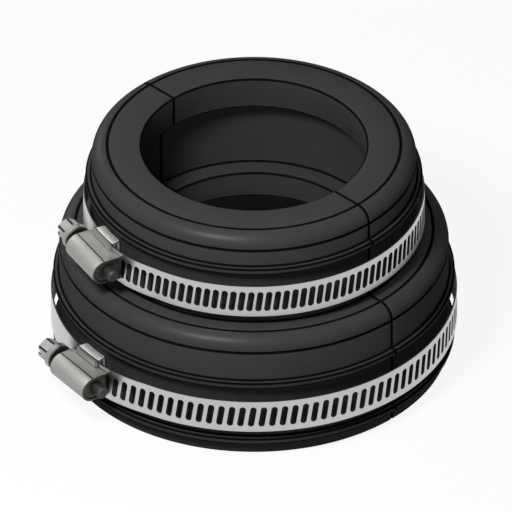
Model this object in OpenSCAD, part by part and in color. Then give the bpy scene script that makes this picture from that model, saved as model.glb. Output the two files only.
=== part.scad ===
// Flexible reducing pipe coupling: a stepped rubber sleeve and two worm-drive band clamps.
// Millimetres. Z is the pipe axis and the large mouth is at Z = 0. The mould parts on the XZ plane.

/* [Sleeve ends] */
// Outside diameter of the pipe that the small (upper) mouth takes
upper_pipe_d = 88.9; // [84:0.1:92]
// Outside diameter of the pipe that the large (lower) mouth takes
lower_pipe_d = 114.3; // [112:0.1:120]
// Rubber thickness behind the lip, at the clamp channel
wall_t = 12.5; // [10:0.1:14]
// How far the mouth lips stand in from the chamber behind them
lip_reach = 7.1; // [4:0.1:9]
// Height of the lip at the small mouth
upper_lip_h = 13.4; // [8:0.1:20]
// Height of the lip at the large mouth
lower_lip_h = 13.4; // [8:0.1:20]
// How far the stop ring stands in past the small mouth, to stop the pipe
stop_step = 0.95; // [0.5:0.05:3]
// Depth from the small mouth to the stop ring
upper_socket_depth = 44.5; // [40:0.5:50]
// Height of the stop ring
stop_h = 11; // [6:0.5:16]

/* [Sleeve outside] */
// Plain foot under the lowest rib
foot_h = 5.3; // [4:0.1:10]
// Height of each rib beside a clamp channel
rib_w = 2.7; // [1.5:0.1:4]
// How far each rib stands out from the wall
rib_out = 2.35; // [1.5:0.05:2.8]
// Free height of each clamp channel
channel_w = 24; // [20:0.5:30]
// Height from the upper rib of the large end to the step
lower_collar_h = 19.3; // [14:0.1:26]
// Height from the rib of the small end to its mouth
upper_collar_h = 13.6; // [9:0.1:20]
// Radius of the rounded edge at the mouth and at the step
edge_r = 6.2; // [3:0.1:8]

/* [Clamp bands] */
// Width of the steel band
band_w = 14.3; // [12:0.1:16]
// Thickness of the steel band
band_t = 0.7; // [0.5:0.05:0.9]
// Gap between the loosened band and the wall of its channel
band_standoff = 2.5; // [2:0.1:3.5]
// How far the slotted end rides up to pass over the saddle
band_lift = 1.3; // [1.2:0.05:2]
// Slot steps that the ramp up to the raised end takes
ramp_slots = 4; // [1:1:6]
// Slots in a full turn of the band
slots_per_turn = 120; // [116:1:124]
// Number of slots cut along the band from its free end
slot_count = 100; // [60:1:104]
// Length of one slot
slot_l = 9; // [6:0.1:9.8]
// Width of one slot
slot_w = 2.4; // [1.8:0.05:2.6]
// Plain tail of the band past its last slot
tail_l = 1.5; // [0.8:0.1:1.6]

/* [Clamp housings] */
// Direction of the upper clamp's housing round the axis, in degrees
upper_angle = -106.2; // [-180:0.1:180]
// Direction of the lower clamp's housing round the axis, in degrees
lower_angle = -99.5; // [-180:0.1:180]
// How far the loose lower clamp hangs below the middle of its channel
lower_drop = 0.6; // [0:0.1:3]
// Length of the screw barrel
barrel_l = 22.2; // [20:0.1:24]
// How far the barrel's middle sits toward the screw's tip
barrel_shift = 2.1; // [0:0.1:3]
// How far the round of the cap sits out from the screw's axis
cap_rise = 1.9; // [0:0.1:3]
// Sheet thickness of the housing
shell_t = 0.55; // [0.4:0.05:0.9]
// Thickness of the barrel's two end plates
end_plate_t = 0.8; // [0.6:0.1:1.5]
// Length of the saddle along the band
saddle_l = 13; // [10:0.1:15]
// How far the saddle's middle sits toward the screw's tip
saddle_shift = 1.2; // [0:0.1:2.5]
// Sheet thickness of the saddle's cheeks
cheek_t = 0.8; // [0.6:0.05:1.2]
// Thickness of the feet that the housing stands on
foot_t = 0.8; // [0.5:0.05:1.2]

/* [Clamp screws] */
// Crest radius of the worm
worm_r = 4.5; // [4.2:0.05:5]
// Radius of the worm's core
core_r = 3.3; // [3:0.05:3.6]
// Width of the thread at its crest
crest_w = 0.8; // [0.6:0.05:0.9]
// How deep the worm reaches into the slots
mesh_depth = 0.5; // [0.3:0.05:0.6]
// Radius of the journals that run in the end plates
journal_r = 2.5; // [2.3:0.05:2.9]
// How far the journal stands out of the barrel at the tip
tip_out = 4.4; // [1:0.1:6]
// Bare neck between the barrel and the screw's flange
neck_l = 2.8; // [1:0.1:4]
// Radius of the flange behind the hex head
flange_r = 5.5; // [4.7:0.05:5.6]
// Thickness of the flange
flange_l = 3.4; // [2:0.1:5]
// Distance across the flats of the hex head
hex_af = 7.94; // [7:0.01:9]
// Length of the hex head
hex_l = 6.2; // [4:0.1:8]
// Diameter of the flat that is left on the hex head's chamfered end
hex_face_d = 7.4; // [6.6:0.1:7.8]
// Width of the screwdriver slot
driver_w = 1.3; // [1:0.1:1.6]
// Depth of the screwdriver slot
driver_depth = 2; // [1:0.1:3]

/* [Clearances] */
// Saddle to the rubber that it sits on
seat_gap = 0.2; // [0.1:0.05:0.3]
// Between the layers of sheet in a clamp
sheet_gap = 0.05; // [0.02:0.01:0.08]
// Saddle cheek to the edge of the band
side_gap = 0.25; // [0.1:0.05:0.4]
// Worm crest to the barrel
barrel_gap = 0.15; // [0.1:0.05:0.3]
// Journal to the hole of its end plate
journal_gap = 0.05; // [0.02:0.01:0.09]
// Shoulder of the core to the end plate
shoulder_gap = 0.15; // [0.1:0.05:0.3]

/* [Hidden] */
upper_mouth_r = upper_pipe_d / 2;
lower_mouth_r = lower_pipe_d / 2;
upper_chamber_r = upper_mouth_r + lip_reach;
lower_chamber_r = lower_mouth_r + lip_reach;
upper_wall_r = upper_chamber_r + wall_t;
lower_wall_r = lower_chamber_r + wall_t;
stop_r = upper_mouth_r - stop_step;

low_rib_z = foot_h;
low_channel_z = low_rib_z + rib_w;
mid_rib_z = low_channel_z + channel_w;
step_z = mid_rib_z + rib_w + lower_collar_h;
top_rib_z = step_z + channel_w;
sleeve_h = top_rib_z + rib_w + upper_collar_h;
stop_top_z = sleeve_h - upper_socket_depth;
stop_z = stop_top_z - stop_h;
lower_clamp_z = low_channel_z + channel_w / 2 - lower_drop;
upper_clamp_z = step_z + channel_w / 2;

slot_step = 360 / slots_per_turn;
barrel_in_r = worm_r + barrel_gap;
barrel_out_r = barrel_in_r + shell_t;
core_half = barrel_l / 2 - end_plate_t - shoulder_gap;
cheek_in = band_w / 2 + side_gap;
cheek_out = cheek_in + cheek_t;
barrel_mid = -barrel_shift;
flange_x = barrel_mid + barrel_l / 2 + neck_l;
hex_x = flange_x + flange_l;
past = 1;
band_end_inset = 1;
thread_turn_steps = 24;
thread_root = 0.2;
thread_flank = 15;
hex_chamfer = 30;
$fn = 96;

steel = [0.76, 0.76, 0.74];
bright_steel = [0.82, 0.82, 0.81];
rubber = [0.16, 0.16, 0.17];

// Radii of one clamp, each from the wall radius of its channel
function band_in(wall_r) = wall_r + band_standoff;
function band_out(wall_r) = band_in(wall_r) + band_t;
function raised_out(wall_r) = band_out(wall_r) + band_lift;
function screw_r(wall_r) = raised_out(wall_r) - mesh_depth + worm_r;
function worm_pitch(wall_r) = 2 * PI * (raised_out(wall_r) - mesh_depth / 2) / slots_per_turn;
function arc_deg(length, r) = length / r * 180 / PI;
function polar(r, a) = [r * cos(a), r * sin(a)];

// Solid of revolution of one end, with its top edge rounded
module barrel_outline(r, h) {
    square([r - edge_r, h]);
    square([r, h - edge_r]);
    translate([r - edge_r, h - edge_r]) circle(edge_r);
}

module rib_outline(r, z) {
    translate([r - rib_out, z]) square([2 * rib_out, rib_w]);
}

module sleeve() {
    color(rubber)
    rotate_extrude(convexity = 6)
    difference() {
        union() {
            barrel_outline(lower_wall_r, step_z);
            barrel_outline(upper_wall_r, sleeve_h);
            rib_outline(lower_wall_r, low_rib_z);
            rib_outline(lower_wall_r, mid_rib_z);
            rib_outline(upper_wall_r, top_rib_z);
        }
        translate([0, -past]) square([stop_r, sleeve_h + 2 * past]);
        translate([0, -past]) square([lower_mouth_r, stop_z + past]);
        translate([0, lower_lip_h]) square([lower_chamber_r, stop_z - lower_lip_h]);
        translate([0, stop_top_z]) square([upper_mouth_r, upper_socket_depth + past]);
        translate([0, stop_top_z])
            square([upper_chamber_r, upper_socket_depth - upper_lip_h]);
    }
}

// A clamp is drawn with its housing on +Y: the screw's head is toward +X and its tip toward -X
module at_clamp(z, angle) {
    translate([0, 0, z]) rotate(angle - 90) children();
}

// Bent strip from one angle to another, measured from +Y toward the screw's tip
module strip(inner_r, outer_r, height, from, to) {
    rotate(90 + from)
        rotate_extrude(angle = to - from)
            translate([inner_r, -height / 2]) square([outer_r - inner_r, height]);
}

// Closed loop: the plain end runs under the saddle's bridge, the slotted end rides up over it
module clamp_band(wall_r) {
    r_in = band_in(wall_r);
    r_out = band_out(wall_r);
    plain_end = arc_deg(saddle_shift + saddle_l / 2 - band_end_inset, r_in);
    free_end = -slot_step - arc_deg(slot_w / 2 + tail_l, r_in);
    barrel_end = arc_deg(barrel_shift + barrel_l / 2 + sheet_gap, r_in);
    ramp_top = slot_step * (0.5 + ceil(barrel_end / slot_step - 0.5));
    ramp_foot = ramp_top + slot_step * ramp_slots;
    lean = atan(worm_pitch(wall_r) / (2 * PI * worm_r));
    difference() {
        union() {
            strip(r_in, r_out, band_w, ramp_foot, 360 + plain_end);
            strip(r_in + band_lift, r_out + band_lift, band_w, free_end, ramp_top);
            band_ramp(r_in, r_out, ramp_foot, ramp_top);
        }
        for (i = [0 : slot_count - 1])
            let (a = (i - 1) * slot_step)
                rotate(a)
                    translate([0, a < ramp_top ? r_in + band_lift - sheet_gap : r_in - past, 0])
                        rotate([0, -lean, 0])
                            slot_cutter();
    }
}

// Straight piece from the loop up to its raised end, with tongues that key it into both
module band_ramp(r_in, r_out, foot, top) {
    tongue = slot_step / 8;
    inset = band_t / 4;
    rotate(90)
        translate([0, 0, -band_w / 2])
            linear_extrude(band_w)
                polygon([
                    polar(r_in, foot),
                    polar(r_in + inset, foot),
                    polar(r_in + inset, foot + tongue),
                    polar(r_out - inset, foot + tongue),
                    polar(r_out - inset, foot),
                    polar(r_out, foot),
                    polar(r_out + band_lift, top),
                    polar(r_out + band_lift - inset, top),
                    polar(r_out + band_lift - inset, top - tongue),
                    polar(r_in + band_lift + inset, top - tongue),
                    polar(r_in + band_lift + inset, top),
                    polar(r_in + band_lift, top),
                ]);
}

// Slot with round ends, reaching out along +Y from the origin
module slot_cutter() {
    depth = band_lift + band_t + 2 * past;
    straight = slot_l - slot_w;
    translate([-slot_w / 2, 0, -straight / 2]) cube([slot_w, depth, straight]);
    for (end = [-1, 1])
        translate([0, 0, end * straight / 2])
            rotate([-90, 0, 0]) cylinder(d = slot_w, h = depth);
}

// Sheet cap over the worm, on feet that stand on the saddle's cheeks
module clamp_housing(wall_r) {
    axis_r = screw_r(wall_r);
    seat_r = raised_out(wall_r) + sheet_gap;
    drop = axis_r - seat_r + past;
    difference() {
        union() {
            difference() {
                cap(axis_r, drop, barrel_out_r, barrel_l);
                cap(axis_r, drop + past, barrel_in_r, barrel_l - 2 * end_plate_t);
            }
            for (side = [-1, 1])
                translate([-saddle_shift - saddle_l / 2, seat_r - past, side > 0 ? barrel_in_r : -cheek_out])
                    cube([saddle_l, foot_t + past, cheek_out - barrel_in_r]);
        }
        cylinder(r = seat_r, h = 4 * band_w, center = true);
        along_screw(axis_r) cylinder(r = journal_r + journal_gap, h = 2 * barrel_l, center = true);
    }
}

// Half-round cap with straight sides, along the screw
module cap(axis_r, drop, r, length) {
    along_screw(axis_r)
        translate([0, 0, barrel_mid - length / 2]) {
            translate([0, cap_rise, 0]) cylinder(r = r, h = length);
            translate([-r, -drop, 0]) cube([2 * r, drop + cap_rise, length]);
        }
}

// Puts +Z along the screw from its tip to its head, with +Y still away from the pipe
module along_screw(axis_r) {
    translate([0, axis_r, 0]) rotate([0, 90, 0]) children();
}

// Pad on the rubber, cheeks beside the band, and the bridge between its two layers
module clamp_saddle(wall_r) {
    r_in = band_in(wall_r);
    r_out = band_out(wall_r);
    top_r = raised_out(wall_r);
    pad_r = wall_r + seat_gap;
    span = arc_deg(saddle_l, r_in);
    rotate(90 + arc_deg(saddle_shift, r_in) - span / 2)
        rotate_extrude(angle = span)
            difference() {
                translate([pad_r, -cheek_out]) square([top_r - pad_r, 2 * cheek_out]);
                translate([r_in - sheet_gap, -cheek_in])
                    square([band_t + 2 * sheet_gap, 2 * cheek_in]);
                translate([r_in + band_lift - sheet_gap, -cheek_in])
                    square([band_t + past, 2 * cheek_in]);
            }
}

// Worm, journals, flange and slotted hex head in one piece
module clamp_screw(wall_r) {
    along_screw(screw_r(wall_r)) {
        translate([0, 0, barrel_mid - core_half]) cylinder(r = core_r, h = 2 * core_half);
        worm_thread(worm_pitch(wall_r));
        translate([0, 0, barrel_mid - barrel_l / 2 - tip_out])
            cylinder(r = journal_r, h = barrel_l + tip_out + neck_l + past);
        translate([0, 0, flange_x]) cylinder(r = flange_r, h = flange_l);
        translate([0, 0, hex_x]) hex_head();
    }
}

// Hex head on +Z, with its corners turned off at the end and a screwdriver slot across it
module hex_head() {
    cone_h = hex_l + past;
    face_r = hex_face_d / 2;
    difference() {
        intersection() {
            translate([0, 0, -past])
                cylinder(r = hex_af / 2 / cos(30), h = cone_h, $fn = 6);
            translate([0, 0, -past])
                cylinder(r1 = face_r + cone_h / tan(hex_chamfer), r2 = face_r, h = cone_h);
        }
        translate([-driver_w / 2, -hex_af, hex_l - driver_depth])
            cube([driver_w, 2 * hex_af, driver_depth + past]);
    }
}

// Right-hand thread ridge on the core, with its crest at -Y where Z = 0
module worm_thread(pitch) {
    reach = core_half - pitch / 3;
    turns = 2 * reach / pitch;
    steps = ceil(turns * thread_turn_steps);
    foot_r = core_r - thread_root;
    foot_w = crest_w + 2 * (worm_r - foot_r) * tan(thread_flank);
    points = [
        for (i = [0 : steps])
            let (t = (barrel_mid - reach) / pitch + turns * i / steps)
            for (p = [[-foot_w, foot_r], [-crest_w, worm_r], [crest_w, worm_r], [foot_w, foot_r]])
                [p[1] * cos(360 * t - 90), p[1] * sin(360 * t - 90), pitch * t + p[0] / 2],
    ];
    sides = [
        for (i = [0 : steps - 1])
            for (k = [0 : 3])
                let (a = 4 * i + k, b = 4 * i + (k + 1) % 4)
                for (f = [[a, b, b + 4], [a, b + 4, a + 4]])
                    f,
    ];
    polyhedron(points, concat(sides, [[3, 2, 1, 0]], [[for (k = [0 : 3]) 4 * steps + k]]));
}

module upper_band() {
    color(bright_steel) at_clamp(upper_clamp_z, upper_angle) clamp_band(upper_wall_r);
}

module upper_housing() {
    color(steel) at_clamp(upper_clamp_z, upper_angle) clamp_housing(upper_wall_r);
}

module upper_saddle() {
    color(steel) at_clamp(upper_clamp_z, upper_angle) clamp_saddle(upper_wall_r);
}

module upper_screw() {
    color(bright_steel) at_clamp(upper_clamp_z, upper_angle) clamp_screw(upper_wall_r);
}

module lower_band() {
    color(bright_steel) at_clamp(lower_clamp_z, lower_angle) clamp_band(lower_wall_r);
}

module lower_housing() {
    color(steel) at_clamp(lower_clamp_z, lower_angle) clamp_housing(lower_wall_r);
}

module lower_saddle() {
    color(steel) at_clamp(lower_clamp_z, lower_angle) clamp_saddle(lower_wall_r);
}

module lower_screw() {
    color(bright_steel) at_clamp(lower_clamp_z, lower_angle) clamp_screw(lower_wall_r);
}

sleeve();
upper_band();
upper_housing();
upper_saddle();
upper_screw();
lower_band();
lower_housing();
lower_saddle();
lower_screw();
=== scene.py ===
"""Flexible reducing pipe coupling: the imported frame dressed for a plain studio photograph."""
import math

import bmesh
import bpy
from mathutils import Matrix


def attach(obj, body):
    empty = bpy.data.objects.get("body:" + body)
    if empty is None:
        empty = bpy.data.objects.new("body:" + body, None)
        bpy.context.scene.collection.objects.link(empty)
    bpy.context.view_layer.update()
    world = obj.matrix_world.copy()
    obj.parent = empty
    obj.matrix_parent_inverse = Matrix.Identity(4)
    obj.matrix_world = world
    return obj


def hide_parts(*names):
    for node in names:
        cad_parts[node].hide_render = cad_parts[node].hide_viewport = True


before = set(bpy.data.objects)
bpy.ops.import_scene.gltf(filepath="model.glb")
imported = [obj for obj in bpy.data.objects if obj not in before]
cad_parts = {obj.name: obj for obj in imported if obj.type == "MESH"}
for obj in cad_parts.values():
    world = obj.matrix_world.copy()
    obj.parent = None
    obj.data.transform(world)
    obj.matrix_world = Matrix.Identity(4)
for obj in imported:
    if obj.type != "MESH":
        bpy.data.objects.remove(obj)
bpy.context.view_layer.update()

# Sizes are the real ones, in millimetres and degrees, as the part's source has them
MM = 0.001

# A point this near a place is taken to be there, and points this near each other to be one
NEAR = 0.02
SAME = 0.0001

# How finely round forms are drawn, and the angle below which faces run smoothly together
ROUND_SIDES = 192
SHOULDER_STEPS = 14
CORNER_STEPS = 3
SLOT_SIDES = 12
HOUSING_SIDES = 64
HOLE_SIDES = 48
SEAT_SIDES = 256
SADDLE_STEPS = 6
PAD_END_STEPS = 4
SCREW_SIDES = 48
CHAMFER_SIDES = 96
THREAD_TURN_STEPS = 24
SMOOTH_ANGLE = 35.0

# Rubber sleeve: (radius, height) round its wall, from the large mouth up the outside and back inside
SLEEVE_OUTLINE = [
    (57.15, 0), (76.75, 0),
    (76.75, 5.3), (79.1, 5.3), (79.1, 8), (76.75, 8),
    (76.75, 32), (79.1, 32), (79.1, 34.7), (76.75, 34.7),
    (76.75, 54), (64.05, 54),
    (64.05, 78), (66.4, 78), (66.4, 80.7), (64.05, 80.7),
    (64.05, 94.3), (44.45, 94.3),
    (44.45, 80.9), (51.55, 80.9), (51.55, 49.8), (43.5, 49.8),
    (43.5, 38.8), (64.25, 38.8), (64.25, 13.4), (57.15, 13.4),
]
SHOULDERS = [(76.75, 54), (64.05, 94.3)]
SHOULDER_R = 6.2
# Sharp corners are rounded and mould lines pressed in, and both take painted shade
CORNER_ANGLE = 50.0
CORNER_R = 0.7
LINE_HALF_W = 0.65
LINE_DEPTH = 0.4

# Clamps: where each sits, and the wall radius of its channel
CLAMPS = {
    "upper": {"z": 66.0, "angle": -106.2, "wall_r": 64.05},
    "lower": {"z": 19.4, "angle": -99.5, "wall_r": 76.75},
}
SEAT_GAP = 0.2
SHEET_GAP = 0.05

# Band: it stands off the rubber, and its slotted end is set up to pass over the saddle
BAND_W = 14.3
BAND_T = 0.7
BAND_STANDOFF = 2.5
BAND_LIFT = 1.3
BAND_END_INSET = 1.0
SLOT_STEP = 3.0
SLOT_COUNT = 100
SLOT_L = 9.0
SLOT_W = 2.4
TAIL_L = 1.5
RAMP_SLOTS = 4

# Screw: places along it are counted from the middle of the clamp toward the head
WORM_R = 4.5
CORE_R = 3.3
CORE_HALF = 10.15
CREST_W = 0.8
THREAD_ROOT = 0.2
THREAD_FLANK = 15.0
MESH_DEPTH = 0.5
JOURNAL_R = 2.5
TIP_OUT = 4.4
FLANGE_X = 11.8
FLANGE_R = 5.5
FLANGE_L = 3.4
HEX_AF = 7.94
HEX_L = 6.2
HEX_SUNK = 0.5
HEX_FACE_R = 3.7
HEX_CHAMFER = 30.0
HEX_HALF_SIDE = math.pi / 6
DRIVER_W = 1.3
DRIVER_DEPTH = 2.0

# Housing: a line of painted shade runs along each side of its round, and a rim round its sunk ends
SHELL_T = 0.55
BARREL_GAP = 0.15
BARREL_L = 22.2
BARREL_R = WORM_R + BARREL_GAP + SHELL_T
BARREL_MID = -2.1
CAP_RISE = 1.9
SKIRT_SPARE = 3.0
FOOT_T = 0.8
CREASE_HALF_W = 0.35
RIM_W = 1.0
RIM_STEP_W = 0.45
RIM_DEPTH = 0.4
HOLE_R = 2.95
TOOL_L = 100.0

# Saddle: a pad between two cheeks
SADDLE_L = 13.0
SADDLE_SHIFT = 1.2
PAD_END_R = 1.2
CHEEK_IN = 7.4
CHEEK_OUT = 8.2

# Trimmed edges: how sharp an edge must be to be taken off, and by how much it is
EDGE_ANGLE = 65.0
HEX_EDGE_ANGLE = 40.0
EDGE_W = 0.3
BAND_EDGE_W = 0.1
BRIDGE_EDGE_W = 0.15
SCREW_EDGE_W = 0.45
HEX_EDGE_W = 0.5

# Crumbs a cut leaves are closed up to this size, so that the edges trim evenly
WELD_GAP = 0.15

# The photograph: a parallel view from above one corner, at so many pixels to a millimetre
PHOTO_SIDE = 512
PHOTO_SCALE = 2.54
PHOTO_AZIMUTH = 45.0
PHOTO_ELEVATION = 35.264
PHOTO_CENTRE_Z = 40.54
PHOTO_CENTRE_RIGHT = 0.787
CAMERA_AWAY = 600.0

# The studio: lamps hang this far from the coupling's middle, and the floor lies just under it
LAMP_AWAY = 800.0
LAMP_AIM_Z = 45.0
FLOOR_SIDE = 6000.0
FLOOR_GAP = 0.2

# How much of the floor's white shows in any shadow, and how much of the sky's white gives light
FLOOR_GLOW = 0.9
SKY_LIGHT = 0.1


def metres(*values):
    """Millimetres to the frame's metres."""
    return tuple(value * MM for value in values)


def new_piece(name, *finishes):
    """Names the primitive that was just added, gives it its finishes, and opens it in edit mode."""
    piece = bpy.context.object
    piece.name = name
    piece.data.name = name
    for finish in finishes:
        piece.data.materials.append(finish)
    bpy.ops.object.mode_set(mode="EDIT")
    bpy.ops.mesh.select_mode(type="VERT")
    return piece


def give_finish(number):
    """The faces selected in edit mode take one of the piece's finishes, counted from 0."""
    bpy.context.object.active_material_index = number
    bpy.ops.object.material_slot_assign()


def clear_selection():
    """Nothing selected, so that an operator acts on the next primitive alone."""
    bpy.ops.object.select_all(action="DESELECT")


def keep_place():
    """Puts the place, turn and size of what is selected into its mesh."""
    bpy.ops.object.transform_apply(location=True, rotation=True, scale=True)


def pick(kind, test):
    """Selects, in edit mode, what lies wholly on points that pass the test (in mm), and nothing else."""
    bpy.ops.mesh.select_mode(type=kind)
    bpy.ops.mesh.select_all(action="DESELECT")
    mesh = bpy.context.edit_object.data
    shape = bmesh.from_edit_mesh(mesh)
    chosen = {v for v in shape.verts if test(v.co.x / MM, v.co.y / MM, v.co.z / MM)}
    parts = {"VERT": shape.verts, "EDGE": shape.edges, "FACE": shape.faces}[kind]
    for part in parts:
        corners = {part} if kind == "VERT" else set(part.verts)
        if corners <= chosen:
            part.select_set(True)
    bmesh.update_edit_mesh(mesh)


def on_ring(r, z):
    """A test for the points of one ring round the Z axis."""
    return lambda x, y, h: abs(math.hypot(x, y) - r) < NEAR and abs(h - z) < NEAR


def turn_selected(angle, axis, centre=(0, 0, 0)):
    """Turns what is selected in edit mode. With no window open, the operator turns the other way."""
    bpy.ops.transform.rotate(value=-angle, orient_axis=axis, center_override=metres(*centre))


def outward():
    """Turns every face of the open piece outwards."""
    bpy.ops.mesh.select_all(action="SELECT")
    bpy.ops.mesh.normals_make_consistent(inside=False)


def smooth_faces():
    """Smooths the selected piece everywhere but at its real edges."""
    bpy.ops.object.shade_smooth_by_angle(angle=math.radians(SMOOTH_ANGLE))


def select_only(piece):
    """Makes one piece the selected and active one."""
    clear_selection()
    piece.select_set(True)
    bpy.context.view_layer.objects.active = piece


def finish_with(piece, kind, **settings):
    """Adds a modifier and applies it."""
    select_only(piece)
    modifier = piece.modifiers.new(kind.title(), kind)
    for name, value in settings.items():
        setattr(modifier, name, value)
    bpy.ops.object.modifier_apply(modifier=modifier.name)


def trim_edges(piece, width, sharper_than=EDGE_ANGLE, segments=2):
    """Takes the sharp edges off a piece, all the way round, and gives them its second finish, a painted
    shade.
    """
    finish_with(
        piece, "BEVEL", width=width * MM, segments=segments, limit_method="ANGLE",
        angle_limit=math.radians(sharper_than), material=1)


def combine(piece, tool, operation):
    """Joins, cuts or trims the piece with another solid, which is used up."""
    finish_with(piece, "BOOLEAN", object=tool, operation=operation, solver="EXACT")
    bpy.data.objects.remove(tool, do_unlink=True)


def join(piece, others):
    """Makes the other shells part of the piece."""
    select_only(piece)
    for other in others:
        other.select_set(True)
    bpy.ops.object.join()


def set_down(piece, matrix):
    """Puts a piece in its place in the frame, with that place in its mesh."""
    select_only(piece)
    piece.matrix_world = matrix
    keep_place()


def clamp_place(clamp):
    """Frame of one clamp: its housing on +Y, its screw's head toward +X."""
    turn = math.radians(clamp["angle"] - 90)
    return Matrix.Translation((0, 0, clamp["z"] * MM)) @ Matrix.Rotation(turn, 4, "Z")


def screw_place(clamp):
    """Frame of one screw: +Z from its tip to its head, +Y away from the pipe."""
    axis = Matrix.Translation((0, screw_axis_r(clamp) * MM, 0))
    return clamp_place(clamp) @ axis @ Matrix.Rotation(math.radians(90), 4, "Y")


def band_in_r(clamp):
    """Inside radius of a clamp's band."""
    return clamp["wall_r"] + BAND_STANDOFF


def raised_out_r(clamp):
    """Outside radius of the band's slotted end, where it is set up under the worm."""
    return band_in_r(clamp) + BAND_T + BAND_LIFT


def screw_axis_r(clamp):
    """How far the screw's axis is from the pipe's, with the worm standing in the slots."""
    return raised_out_r(clamp) - MESH_DEPTH + WORM_R


def worm_pitch(clamp):
    """Pitch of the worm: one slot at the depth where the two mesh."""
    return math.radians(SLOT_STEP) * (raised_out_r(clamp) - MESH_DEPTH / 2)


def mould_sleeve(name, *finishes):
    """Rubber sleeve: a ring drawn round its wall, then shoulders, rounded corners and mould lines, which
    take painted shade.
    """
    clear_selection()
    first_r, first_z = SLEEVE_OUTLINE[0]
    bpy.ops.mesh.primitive_circle_add(
        vertices=ROUND_SIDES, radius=first_r * MM, location=metres(0, 0, first_z), fill_type="NOTHING")
    sleeve = new_piece(name, *finishes)
    bpy.ops.mesh.select_all(action="SELECT")
    for (r, z), (next_r, next_z) in zip(SLEEVE_OUTLINE, SLEEVE_OUTLINE[1:]):
        bpy.ops.mesh.extrude_edges_move(TRANSFORM_OT_translate={"value": metres(0, 0, next_z - z)})
        grow = next_r / r
        bpy.ops.transform.resize(value=(grow, grow, 1), center_override=(0, 0, 0))
    last_r, last_z = SLEEVE_OUTLINE[-1]
    at_start = on_ring(first_r, first_z)
    at_end = on_ring(last_r, last_z)
    pick("EDGE", lambda x, y, z: at_start(x, y, z) or at_end(x, y, z))
    bpy.ops.mesh.bridge_edge_loops()
    outward()
    for r, z in SHOULDERS:
        pick("EDGE", on_ring(r, z))
        bpy.ops.mesh.bevel(
            offset=SHOULDER_R * MM, segments=SHOULDER_STEPS, affect="EDGES", material=0)
    bpy.ops.mesh.select_all(action="DESELECT")
    # The rounding of every sharp corner takes painted shade
    bpy.ops.mesh.edges_select_sharp(sharpness=math.radians(CORNER_ANGLE))
    bpy.ops.mesh.bevel(offset=CORNER_R * MM, segments=CORNER_STEPS, affect="EDGES", material=1)
    for r, z in SHOULDERS:
        press_ring_line(r - SHOULDER_R, z, 0, -LINE_DEPTH)
        press_ring_line(r, z - SHOULDER_R, -LINE_DEPTH, 0)
    press_parting_line()
    bpy.ops.object.mode_set(mode="OBJECT")
    smooth_faces()
    return sleeve


def press_ring_line(r, z, inward, down):
    """Fine groove round the sleeve, where a shoulder's insert met the mould; its faces take painted
    shade.
    """
    pick("EDGE", on_ring(r, z))
    bpy.ops.mesh.bevel(offset=LINE_HALF_W * MM, segments=2, affect="EDGES", material=1)
    pick("EDGE", on_ring(r, z))
    shrink = (r + inward) / r
    bpy.ops.transform.resize(value=(shrink, shrink, 1), center_override=(0, 0, 0))
    bpy.ops.transform.translate(value=metres(0, 0, down))


def press_parting_line():
    """Fine groove all along the XZ plane, where the mould's halves met; its faces take painted shade."""
    for side in (-1, 1):
        bpy.ops.mesh.select_all(action="SELECT")
        bpy.ops.mesh.bisect(plane_co=metres(0, side * LINE_HALF_W, 0), plane_no=(0, 1, 0))
    pick("FACE", lambda x, y, z: abs(y) < LINE_HALF_W + NEAR)
    give_finish(1)
    pick("VERT", lambda x, y, z: abs(y) < NEAR)
    bpy.ops.transform.shrink_fatten(value=-LINE_DEPTH * MM)


def roll_band(name, clamp, *finishes):
    """Steel band: a flat strip with punched slots, its free end set up, rolled into a loop."""
    mid_r = band_in_r(clamp) + BAND_T / 2
    per_degree = math.radians(1) * mid_r
    pitch = SLOT_STEP * per_degree
    lean = math.atan(worm_pitch(clamp) / (2 * math.pi * WORM_R))
    barrel_end = math.degrees((BARREL_L / 2 - BARREL_MID) / band_in_r(clamp))
    ramp_top = SLOT_STEP * (0.5 + math.ceil(barrel_end / SLOT_STEP - 0.5))
    ramp_foot = ramp_top + RAMP_SLOTS * SLOT_STEP
    plain_end = 360 + math.degrees((SADDLE_SHIFT + SADDLE_L / 2 - BAND_END_INSET) / band_in_r(clamp))

    strip = punch_slot(name, pitch, lean, *finishes)
    bpy.ops.object.mode_set(mode="OBJECT")
    finish_with(
        strip, "ARRAY", count=SLOT_COUNT, use_relative_offset=False, use_constant_offset=True,
        constant_offset_displace=metres(pitch, 0, 0), use_merge_vertices=True, merge_threshold=NEAR * MM)
    bpy.ops.object.mode_set(mode="EDIT")
    first_x = -1.5 * pitch
    last_x = first_x + SLOT_COUNT * pitch
    tail = pitch / 2 - SLOT_W / 2 - TAIL_L
    pick("EDGE", lambda x, y, z: abs(x - first_x) < NEAR)
    bpy.ops.mesh.extrude_edges_move(TRANSFORM_OT_translate={"value": metres(tail, 0, 0)})
    plain_steps = math.ceil((plain_end * per_degree - last_x) / pitch)
    plain_step = (plain_end * per_degree - last_x) / plain_steps
    pick("EDGE", lambda x, y, z: abs(x - last_x) < NEAR)
    for step in range(plain_steps):
        bpy.ops.mesh.extrude_edges_move(TRANSFORM_OT_translate={"value": metres(plain_step, 0, 0)})
    set_up_free_end(ramp_top * per_degree, ramp_foot * per_degree)
    outward()
    bpy.ops.object.mode_set(mode="OBJECT")
    # The strip's cut edges take painted shade
    finish_with(strip, "SOLIDIFY", thickness=BAND_T * MM, offset=0, material_offset_rim=1)
    trim_edges(strip, BAND_EDGE_W, segments=1)
    lengths = [v.co.x for v in strip.data.vertices]
    rolled = (max(lengths) - min(lengths)) / (mid_r * MM)
    finish_with(strip, "SIMPLE_DEFORM", deform_method="BEND", deform_axis="Z", angle=rolled)
    roll_centre = Matrix.Rotation(math.pi, 4, "Z") @ Matrix.Translation(metres(0, -mid_r, 0))
    set_down(strip, clamp_place(clamp) @ roll_centre)
    smooth_faces()
    return strip


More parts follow.
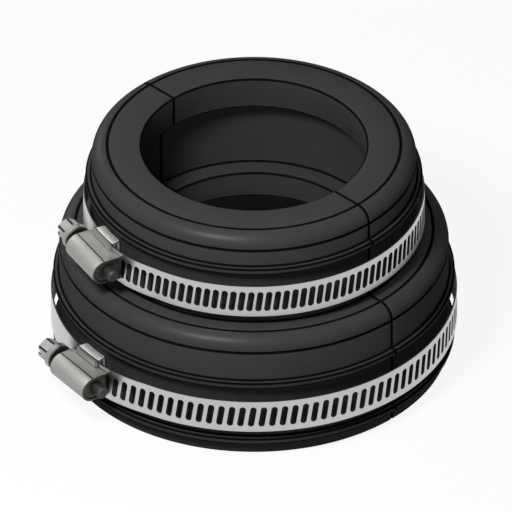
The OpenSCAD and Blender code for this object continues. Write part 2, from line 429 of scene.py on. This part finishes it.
def punch_slot(name, pitch, lean, *finishes):
    """One step of the strip, on the XZ plane: a slot with round ends in its piece of strip."""
    clear_selection()
    corner_r = SLOT_W / 2 / math.cos(math.pi / SLOT_SIDES)
    bpy.ops.mesh.primitive_circle_add(
        vertices=SLOT_SIDES, radius=corner_r * MM, fill_type="NOTHING", rotation=(math.pi / 2, 0, 0))
    keep_place()
    strip = new_piece(name, *finishes)
    bpy.ops.mesh.select_all(action="SELECT")
    turn_selected(-math.pi / SLOT_SIDES, "Y")
    for side in (-1, 1):
        pick("VERT", lambda x, y, z: z * side > 0)
        bpy.ops.transform.translate(value=metres(0, 0, side * (SLOT_L - SLOT_W) / 2))
    bpy.ops.mesh.select_all(action="SELECT")
    bpy.ops.mesh.extrude_edges_move()
    widen = pitch / SLOT_W
    past_edge = 10
    bpy.ops.transform.resize(value=(widen, 1, past_edge), center_override=(0, 0, 0))
    for side in (-1, 1):
        pick("VERT", lambda x, y, z: z * side > SLOT_L)
        bpy.ops.transform.resize(value=(1, 1, 0), center_override=metres(0, 0, side * BAND_W / 2))
    pick("VERT", lambda x, y, z: abs(z) < SLOT_L / 2 + NEAR)
    turn_selected(lean, "Y")
    bpy.ops.mesh.select_all(action="SELECT")
    bpy.ops.transform.translate(value=metres(-pitch, 0, 0))
    return strip


def set_up_free_end(top_x, foot_x):
    """Bends the slotted end up by the lift, so that it passes over the saddle."""
    slope = math.asin(BAND_LIFT / (foot_x - top_x))
    pick("VERT", lambda x, y, z: x < top_x + NEAR)
    turn_selected(-slope, "Z", (top_x, 0, 0))
    pick("VERT", lambda x, y, z: x < foot_x + NEAR)
    turn_selected(slope, "Z", (foot_x, 0, 0))


def press_housing(name, clamp, *finishes):
    """Sheet housing: a cap pressed over the worm, with holed ends and feet on the saddle."""
    seat_r = raised_out_r(clamp) + SHEET_GAP
    seat_y = seat_r - screw_axis_r(clamp)
    skirt = seat_y - SKIRT_SPARE - CAP_RISE
    first_end = BARREL_MID - BARREL_L / 2
    clear_selection()
    bpy.ops.mesh.primitive_circle_add(
        vertices=HOUSING_SIDES, radius=BARREL_R * MM, location=metres(0, CAP_RISE, first_end),
        fill_type="NOTHING")
    keep_place()
    housing = new_piece(name, *finishes)
    pick("VERT", lambda x, y, z: y < CAP_RISE - NEAR)
    bpy.ops.mesh.delete(type="VERT")
    pick("VERT", on_crease)
    bpy.ops.mesh.extrude_vertices_move(TRANSFORM_OT_translate={"value": metres(0, skirt, 0)})
    bpy.ops.mesh.select_all(action="SELECT")
    bpy.ops.mesh.edge_face_add()
    bpy.ops.mesh.extrude_region_move(TRANSFORM_OT_translate={"value": metres(0, 0, BARREL_L)})
    outward()
    # A flat strip along each side of the round takes painted shade
    pick("EDGE", on_crease)
    bpy.ops.mesh.bevel(offset=CREASE_HALF_W * MM, segments=1, affect="EDGES", material=1)
    # Each end takes painted shade, and the step of its rim takes the darkest painted shade
    for end in (first_end, first_end + BARREL_L):
        pick("FACE", lambda x, y, z: abs(z - end) < NEAR)
        give_finish(1)
        bpy.ops.mesh.inset(thickness=RIM_W * MM)
        give_finish(2)
        bpy.ops.mesh.inset(thickness=RIM_STEP_W * MM, depth=-RIM_DEPTH * MM)
        give_finish(1)
    pick("FACE", lambda x, y, z: y < CAP_RISE + skirt + NEAR)
    bpy.ops.mesh.delete(type="ONLY_FACE")
    bpy.ops.object.mode_set(mode="OBJECT")
    finish_with(housing, "SOLIDIFY", thickness=SHELL_T * MM, offset=-1, use_even_offset=True)
    foot_in = BARREL_R - SHELL_T / 2
    foot_size = (CHEEK_OUT - foot_in, 2 * FOOT_T, SADDLE_L)
    for side in (-1, 1):
        foot_x = side * (foot_in + CHEEK_OUT) / 2
        combine(housing, block((foot_x, seat_y, -SADDLE_SHIFT), foot_size), "UNION")
    combine(housing, rod(HOLE_R, HOLE_SIDES), "DIFFERENCE")
    seat = rod(seat_r, SEAT_SIDES)
    across = Matrix.Rotation(math.pi / 2, 4, "Y")
    set_down(seat, Matrix.Translation(metres(0, -screw_axis_r(clamp), 0)) @ across)
    combine(housing, seat, "DIFFERENCE")
    finish_with(housing, "WELD", merge_threshold=WELD_GAP * MM)
    trim_edges(housing, EDGE_W)
    set_down(housing, screw_place(clamp))
    smooth_faces()
    return housing


def on_crease(x, y, z):
    """A test for the points where the housing's round meets its straight sides."""
    return abs(abs(x) - BARREL_R) < NEAR and abs(y - CAP_RISE) < NEAR


def block(centre, size):
    """A plain block, as a tool for cutting and joining."""
    clear_selection()
    bpy.ops.mesh.primitive_cube_add(size=1, location=metres(*centre), scale=metres(*size))
    keep_place()
    return bpy.context.object


def rod(r, sides):
    """A plain rod along Z, longer than what it cuts, as a tool for cutting."""
    clear_selection()
    bpy.ops.mesh.primitive_cylinder_add(vertices=sides, radius=r * MM, depth=TOOL_L * MM)
    return bpy.context.object


def form_saddle(name, clamp, *finishes):
    """Saddle: a pad with cheeks, bent to the pipe, and the bridge between the band's two layers."""
    band_in = band_in_r(clamp)
    pad_r = clamp["wall_r"] + SEAT_GAP
    floor_r = band_in - SHEET_GAP
    top_r = raised_out_r(clamp)
    channel = [
        (pad_r, -CHEEK_OUT), (pad_r, CHEEK_OUT), (top_r, CHEEK_OUT), (top_r, CHEEK_IN),
        (floor_r, CHEEK_IN), (floor_r, -CHEEK_IN), (top_r, -CHEEK_IN), (top_r, -CHEEK_OUT),
    ]
    low_r = band_in + BAND_T + SHEET_GAP
    high_r = band_in + BAND_LIFT - SHEET_GAP
    held = (CHEEK_IN + CHEEK_OUT) / 2
    bridge = [(low_r, -held), (low_r, held), (high_r, held), (high_r, -held)]
    half_span = SADDLE_L / 2 / band_in
    saddle = bend_section(name, channel, half_span, *finishes)
    round_pad_ends(pad_r, half_span)
    trim_edges(saddle, EDGE_W)
    between = bend_section(name + "_bridge", bridge, half_span, *finishes)
    trim_edges(between, BRIDGE_EDGE_W)
    join(saddle, [between])
    shift = Matrix.Rotation(SADDLE_SHIFT / band_in, 4, "Z")
    set_down(saddle, clamp_place(clamp) @ shift)
    smooth_faces()
    return saddle


def round_pad_ends(pad_r, half_span):
    """Rounds the pad's two ends where they sit on the rubber, so that they don't cut it."""
    bpy.ops.object.mode_set(mode="EDIT")
    pick("EDGE", lambda x, y, z: (
        abs(math.hypot(x, y) - pad_r) < NEAR
        and abs(abs(math.atan2(x, y)) - half_span) * pad_r < NEAR))
    bpy.ops.mesh.bevel(offset=PAD_END_R * MM, segments=PAD_END_STEPS, affect="EDGES")
    bpy.ops.object.mode_set(mode="OBJECT")


def bend_section(name, outline, half_span, *finishes):
    """A section of (radius, height) points, drawn point by point and spun about Z across +Y."""
    clear_selection()
    bpy.ops.mesh.primitive_plane_add(size=1 * MM)
    piece = new_piece(name, *finishes)
    bpy.ops.mesh.select_all(action="SELECT")
    bpy.ops.mesh.merge(type="CENTER")
    bpy.ops.mesh.select_all(action="SELECT")
    first_r, first_z = outline[0]
    bpy.ops.transform.translate(value=metres(0, first_r, first_z))
    for (r, z), (next_r, next_z) in zip(outline, outline[1:]):
        side = metres(0, next_r - r, next_z - z)
        bpy.ops.mesh.extrude_vertices_move(TRANSFORM_OT_translate={"value": side})
    bpy.ops.mesh.select_all(action="SELECT")
    bpy.ops.mesh.edge_face_add()
    turn_selected(half_span, "Z")
    bpy.ops.mesh.spin(steps=SADDLE_STEPS, angle=2 * half_span, center=(0, 0, 0), axis=(0, 0, 1))
    bpy.ops.mesh.select_all(action="SELECT")
    bpy.ops.mesh.remove_doubles(threshold=SAME * MM)
    outward()
    bpy.ops.object.mode_set(mode="OBJECT")
    return piece


def turn_screw(name, clamp, turned, shade_finish, headed, darkest_shade_finish):
    """Screw: a turned body with its worm, flange and slotted hex head, along Z."""
    tip = BARREL_MID - BARREL_L / 2 - TIP_OUT
    core_from = BARREL_MID - CORE_HALF
    core_to = BARREL_MID + CORE_HALF
    flange_end = FLANGE_X + FLANGE_L
    edge = SCREW_EDGE_W
    body = [
        (JOURNAL_R - edge, tip), (JOURNAL_R, tip + edge), (JOURNAL_R, core_from),
        (CORE_R, core_from), (CORE_R, core_to), (JOURNAL_R, core_to), (JOURNAL_R, FLANGE_X),
        (FLANGE_R - edge, FLANGE_X), (FLANGE_R, FLANGE_X + edge),
        (FLANGE_R, flange_end - edge), (FLANGE_R - edge, flange_end),
    ]
    clear_selection()
    bpy.ops.mesh.primitive_circle_add(
        vertices=SCREW_SIDES, radius=body[0][0] * MM, location=metres(0, 0, tip), fill_type="NGON")
    keep_place()
    screw = new_piece(name, turned, shade_finish)
    bpy.ops.mesh.select_all(action="SELECT")
    for (r, z), (next_r, next_z) in zip(body, body[1:]):
        bpy.ops.mesh.extrude_region_move(TRANSFORM_OT_translate={"value": metres(0, 0, next_z - z)})
        grow = next_r / r
        bpy.ops.transform.resize(value=(grow, grow, 1), center_override=(0, 0, 0))
    outward()
    # The tip, the neck and the flange's far face take painted shade
    pick("FACE", lambda x, y, z: z < core_from + NEAR)
    give_finish(1)
    pick("FACE", lambda x, y, z: core_to - NEAR < z < FLANGE_X + edge + NEAR)
    give_finish(1)
    pick("FACE", lambda x, y, z: z > flange_end - edge - NEAR)
    give_finish(1)
    bpy.ops.object.mode_set(mode="OBJECT")
    join(screw, [cut_hex_head(headed, darkest_shade_finish), wind_worm(worm_pitch(clamp), turned)])
    set_down(screw, screw_place(clamp))
    smooth_faces()
    return screw


def cut_hex_head(*finishes):
    """Hex head with its corners turned off and a screwdriver slot across its end."""
    start = FLANGE_X + FLANGE_L - HEX_SUNK
    end = FLANGE_X + FLANGE_L + HEX_L
    length = end - start
    clear_selection()
    bpy.ops.mesh.primitive_cylinder_add(
        vertices=6, radius=HEX_AF / 2 / math.cos(HEX_HALF_SIDE) * MM, depth=2 * length * MM,
        location=metres(0, 0, start + length), rotation=(0, 0, HEX_HALF_SIDE))
    keep_place()
    head = new_piece("hex_head", *finishes)
    bpy.ops.object.mode_set(mode="OBJECT")
    # The hex's edges and turned-off corners take the darkest painted shade
    trim_edges(head, HEX_EDGE_W, HEX_EDGE_ANGLE)
    clear_selection()
    wide_r = HEX_FACE_R + length / math.tan(math.radians(HEX_CHAMFER))
    bpy.ops.mesh.primitive_cone_add(
        vertices=CHAMFER_SIDES, radius1=wide_r * MM, radius2=HEX_FACE_R * MM, depth=length * MM,
        location=metres(0, 0, (start + end) / 2))
    keep_place()
    turned_off = new_piece("hex_corners", *finishes)
    bpy.ops.mesh.select_all(action="SELECT")
    give_finish(1)
    pick("FACE", lambda x, y, z: z > end - NEAR)
    give_finish(0)
    bpy.ops.object.mode_set(mode="OBJECT")
    combine(head, turned_off, "INTERSECT")
    combine(head, block((0, 0, end), (DRIVER_W, 2 * HEX_AF, 2 * DRIVER_DEPTH)), "DIFFERENCE")
    finish_with(head, "WELD", merge_threshold=WELD_GAP * MM)
    trim_edges(head, EDGE_W)
    return head


def wind_worm(pitch, *finishes):
    """Thread of the worm: its section wound round the core, a third of a pitch short of its ends."""
    reach = CORE_HALF - pitch / 3
    turns = 2 * reach / pitch
    root_r = CORE_R - THREAD_ROOT
    root_w = CREST_W + 2 * (WORM_R - root_r) * math.tan(math.radians(THREAD_FLANK))
    start = BARREL_MID - reach
    clear_selection()
    bpy.ops.mesh.primitive_plane_add(size=1 * MM, rotation=(math.pi / 2, 0, 0))
    keep_place()
    worm = new_piece("worm", *finishes)
    pick("VERT", lambda x, y, z: x > 0)
    bpy.ops.transform.resize(value=(0, 1, CREST_W), center_override=metres(WORM_R, 0, 0))
    pick("VERT", lambda x, y, z: x < 0)
    bpy.ops.transform.resize(value=(0, 1, root_w), center_override=metres(root_r, 0, 0))
    bpy.ops.mesh.select_all(action="SELECT")
    bpy.ops.transform.translate(value=metres(0, 0, start))
    turn_selected(2 * math.pi * start / pitch - math.pi / 2, "Z")
    steps = math.ceil(THREAD_TURN_STEPS * turns)
    rise = metres(0, 0, turns * pitch / steps)
    for step in range(steps):
        bpy.ops.mesh.extrude_region_move(TRANSFORM_OT_translate={"value": rise})
        turn_selected(2 * math.pi * turns / steps, "Z")
    outward()
    bpy.ops.object.mode_set(mode="OBJECT")
    return worm


def linear(code):
    """An sRGB hex colour as the linear colour that a shader takes."""
    channels = [int(code[i:i + 2], 16) / 255 for i in (1, 3, 5)]
    return tuple(c / 12.92 if c < 0.04045 else ((c + 0.055) / 1.055) ** 2.4 for c in channels) + (1.0,)


def node(tree, kind, inputs=None, links=None, **settings):
    """Adds a shader node with its settings, its input values and the sockets that feed it."""
    made = tree.nodes.new(kind)
    for name, value in settings.items():
        setattr(made, name, value)
    for name, value in (inputs or {}).items():
        made.inputs[name].default_value = value
    for name, socket in (links or {}).items():
        tree.links.new(socket, made.inputs[name])
    return made


def blank_material(name):
    """An empty node material with its output."""
    material = bpy.data.materials.new(name)
    material.use_nodes = True
    tree = material.node_tree
    tree.nodes.clear()
    return material, tree, tree.nodes.new("ShaderNodeOutputMaterial")


def per_metre(size_mm):
    """Noise scale that gives marks of about this size."""
    return 1 / (size_mm * MM)


def moulded_rubber(name, dark, light, film_weight):
    """Black EPDM rubber: dull, a little mottled, and grained under the satin film a mould leaves."""
    material, tree, output = blank_material(name)
    place = node(tree, "ShaderNodeTexCoord").outputs["Object"]
    mottle = node(
        tree, "ShaderNodeTexNoise", {"Scale": per_metre(9), "Detail": 4.0, "Roughness": 0.6},
        {"Vector": place})
    tint = node(
        tree, "ShaderNodeMix", {"A": linear(dark), "B": linear(light)},
        {"Factor": mottle.outputs["Fac"]}, data_type="RGBA")
    dullness = node(
        tree, "ShaderNodeMapRange", {"To Min": 0.6, "To Max": 0.75}, {"Value": mottle.outputs["Fac"]})
    # Real grain is about 0.1 mm, too fine to show, so it is drawn at 0.7 mm
    grain = node(
        tree, "ShaderNodeTexNoise", {"Scale": per_metre(0.7), "Detail": 2.0}, {"Vector": place})
    bump = node(
        tree, "ShaderNodeBump", {"Strength": 0.2, "Distance": 0.03 * MM},
        {"Height": grain.outputs["Fac"]})
    film = {
        "Specular IOR Level": 0.0,
        "Coat Weight": film_weight,
        "Coat IOR": 2.2,
        "Coat Roughness": 0.36}
    shader = node(tree, "ShaderNodeBsdfPrincipled", film, {
        "Base Color": tint.outputs["Result"],
        "Roughness": dullness.outputs["Result"],
        "Normal": bump.outputs["Normal"]})
    tree.links.new(shader.outputs["BSDF"], output.inputs["Surface"])
    return material


def worked_steel(name, dark, light, marks_mm, rough):
    """Stainless steel with the fine marks of its making, which have a size along each axis."""
    material, tree, output = blank_material(name)
    place = node(tree, "ShaderNodeTexCoord").outputs["Object"]
    # Real marks are under 0.1 mm across, too fine to show, so they are drawn several times coarser
    drawn = node(
        tree, "ShaderNodeMapping", {"Scale": tuple(per_metre(size) for size in marks_mm)},
        {"Vector": place})
    marks = node(
        tree, "ShaderNodeTexNoise", {"Scale": 1.0, "Detail": 3.0}, {"Vector": drawn.outputs["Vector"]})
    tint = node(
        tree, "ShaderNodeMix", {"A": linear(dark), "B": linear(light)},
        {"Factor": marks.outputs["Fac"]}, data_type="RGBA")
    polish = node(
        tree, "ShaderNodeMapRange", {"To Min": rough[0], "To Max": rough[1]},
        {"Value": marks.outputs["Fac"]})
    bump = node(
        tree, "ShaderNodeBump", {"Strength": 0.15, "Distance": 0.01 * MM},
        {"Height": marks.outputs["Fac"]})
    shader = node(tree, "ShaderNodeBsdfPrincipled", {"Metallic": 1.0}, {
        "Base Color": tint.outputs["Result"],
        "Roughness": polish.outputs["Result"],
        "Normal": bump.outputs["Normal"]})
    tree.links.new(shader.outputs["BSDF"], output.inputs["Surface"])
    return material


def dress(piece, body, slot, *nodes):
    """Gives a piece its body and hides the solids that it stands for. The slot is not used."""
    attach(piece, body)
    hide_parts(*nodes)


def set_camera():
    """Parallel view from above one corner, framed as the photograph is."""
    lens = bpy.data.cameras.new("photo_camera")
    lens.type = "ORTHO"
    lens.ortho_scale = PHOTO_SIDE / PHOTO_SCALE * MM
    camera = bpy.data.objects.new("photo_camera", lens)
    bpy.context.scene.collection.objects.link(camera)
    turn = Matrix.Rotation(math.radians(PHOTO_AZIMUTH), 4, "Z")
    tilt = Matrix.Rotation(math.radians(90 - PHOTO_ELEVATION), 4, "X")
    aim = Matrix.Translation(metres(0, 0, PHOTO_CENTRE_Z)) @ turn @ tilt
    camera.matrix_world = aim @ Matrix.Translation(metres(PHOTO_CENTRE_RIGHT, 0, CAMERA_AWAY))
    bpy.context.scene.camera = camera


def lay_floor():
    """Floor that shows white, keeps a faint shadow, and throws little light back at the coupling."""
    clear_selection()
    bpy.ops.mesh.primitive_plane_add(size=FLOOR_SIDE * MM, location=metres(0, 0, -FLOOR_GAP))
    floor = bpy.context.object
    floor.name = "studio_floor"
    material, tree, output = blank_material("white_floor")
    seen = seen_directly(tree)
    paint = node(
        tree, "ShaderNodeMix", {"A": linear("#484848"), "B": linear("#f4f4f4")},
        {"Factor": seen}, data_type="RGBA")
    matt = node(tree, "ShaderNodeBsdfDiffuse", None, {"Color": paint.outputs["Result"]})
    white = node(tree, "ShaderNodeEmission", {"Color": (1, 1, 1, 1), "Strength": 1.0})
    share = node(tree, "ShaderNodeMath", {1: FLOOR_GLOW}, {0: seen}, operation="MULTIPLY")
    mixed = node(tree, "ShaderNodeMixShader", None, {
        0: share.outputs[0], 1: matt.outputs["BSDF"], 2: white.outputs["Emission"]})
    tree.links.new(mixed.outputs["Shader"], output.inputs["Surface"])
    floor.data.materials.append(material)


def light_sky():
    """Sky that shows white and lights the coupling faintly from all round."""
    world = bpy.data.worlds.new("studio_world")
    world.use_nodes = True
    bpy.context.scene.world = world
    tree = world.node_tree
    tree.nodes.clear()
    output = tree.nodes.new("ShaderNodeOutputWorld")
    level = node(
        tree, "ShaderNodeMapRange", {"To Min": SKY_LIGHT, "To Max": 1.0},
        {"Value": seen_directly(tree)})
    sky = node(
        tree, "ShaderNodeBackground", {"Color": (1, 1, 1, 1)}, {"Strength": level.outputs["Result"]})
    tree.links.new(sky.outputs["Background"], output.inputs["Surface"])


def seen_directly(tree):
    """1 where the camera sees the surface itself or in a mirror or glass, 0 where it only lights."""
    path = node(tree, "ShaderNodeLightPath").outputs
    mirrored = node(
        tree, "ShaderNodeMath", None,
        {0: path["Is Camera Ray"], 1: path["Is Glossy Ray"]}, operation="MAXIMUM")
    through = node(
        tree, "ShaderNodeMath", None,
        {0: mirrored.outputs[0], 1: path["Is Transmission Ray"]}, operation="MAXIMUM")
    return through.outputs[0]


def hang_lamp(name, width, watts, azimuth, tilt):
    """Round soft lamp aimed at the coupling, turned round it and tilted down from overhead."""
    light = bpy.data.lights.new(name, "AREA")
    light.shape = "DISK"
    light.size = width * MM
    light.energy = watts
    lamp = bpy.data.objects.new(name, light)
    bpy.context.scene.collection.objects.link(lamp)
    turn = Matrix.Rotation(math.radians(azimuth), 4, "Z")
    lean = Matrix.Rotation(math.radians(tilt), 4, "X")
    aim = Matrix.Translation(metres(0, 0, LAMP_AIM_Z)) @ turn @ lean
    lamp.matrix_world = aim @ Matrix.Translation(metres(0, 0, LAMP_AWAY))


bpy.context.scene.view_settings.view_transform = "Standard"
set_camera()
lay_floor()
light_sky()
hang_lamp("key_lamp", width=200, watts=5.7, azimuth=14, tilt=37)
hang_lamp("back_lamp", width=300, watts=1.3, azimuth=262, tilt=72)
hang_lamp("fill_lamp", width=300, watts=0.4, azimuth=PHOTO_AZIMUTH, tilt=90 - PHOTO_ELEVATION)

# Moulded: a dull dark grey, with a soft light along the round shoulders
rubber = moulded_rubber("moulded_epdm_rubber", "#363637", "#3e3e3f", 0.05)
# Painted shade: nearly black rubber with no satin film, along the corners and mould lines
painted_shade_rubber = moulded_rubber("painted_shade_epdm_rubber", "#0c0c0d", "#141415", 0.0)
# Cold rolled: bright, with long lines that run round the band
strip_steel = worked_steel(
    "rolled_stainless_strip", "#b6b6b5", "#c6c6c5", marks_mm=(25, 25, 0.35), rough=(0.24, 0.36))
# Deep drawn: warm satin grey, with soft streaks along the housing
sheet_steel = worked_steel(
    "pressed_stainless_sheet", "#94938f", "#a4a39f", marks_mm=(6, 1.2, 0.5), rough=(0.5, 0.62))
# Turned: half bright, with fine rings round the screw
turned_steel = worked_steel(
    "turned_stainless_screw", "#8f8e8c", "#a5a4a2", marks_mm=(0.4, 3, 3), rough=(0.3, 0.42))
# Cold headed: flats a little lighter than the turned steel, with faint streaks
headed_steel = worked_steel(
    "headed_stainless_hex", "#9b9a98", "#afaeac", marks_mm=(3, 0.4, 3), rough=(0.34, 0.46))
# Painted shade: dark steel on edges, ends and lines, which outlines strip, sheet and screw
painted_shade_steel = worked_steel(
    "painted_shade_stainless_edge", "#434342", "#545452", marks_mm=(1, 1, 1), rough=(0.45, 0.6))
# Darkest painted shade: lines in the steps of the housing's ends and along the hex
darkest_shade_steel = worked_steel(
    "darkest_shade_stainless_step", "#1c1c1b", "#272726", marks_mm=(1, 1, 1), rough=(0.5, 0.65))
# Tumbled: even and matt, and paler than the housing as painted light, so that the saddle's upward faces
# look lit
tumbled_painted_light_steel = worked_steel(
    "tumbled_painted_light_saddle", "#d0cfcc", "#dcdbd8", marks_mm=(2, 2, 2), rough=(0.55, 0.7))

dress(mould_sleeve("sleeve_rubber", rubber, painted_shade_rubber), "sleeve", "rubber", "sleeve")
for end, clamp in CLAMPS.items():
    band = roll_band(end + "_band_strip", clamp, strip_steel, painted_shade_steel)
    dress(band, end + "_clamp", "band_steel", end + "_band")
    housing = press_housing(end + "_housing_sheet", clamp, sheet_steel, painted_shade_steel, darkest_shade_steel)
    dress(housing, end + "_clamp", "housing_steel", end + "_housing")
    saddle = form_saddle(end + "_saddle_sheet", clamp, tumbled_painted_light_steel, painted_shade_steel)
    dress(saddle, end + "_clamp", "housing_steel", end + "_saddle")
    screw = turn_screw(
        end + "_screw_turned", clamp, turned_steel, painted_shade_steel, headed_steel, darkest_shade_steel)
    dress(screw, end + "_screw", "screw_steel", end + "_screw")
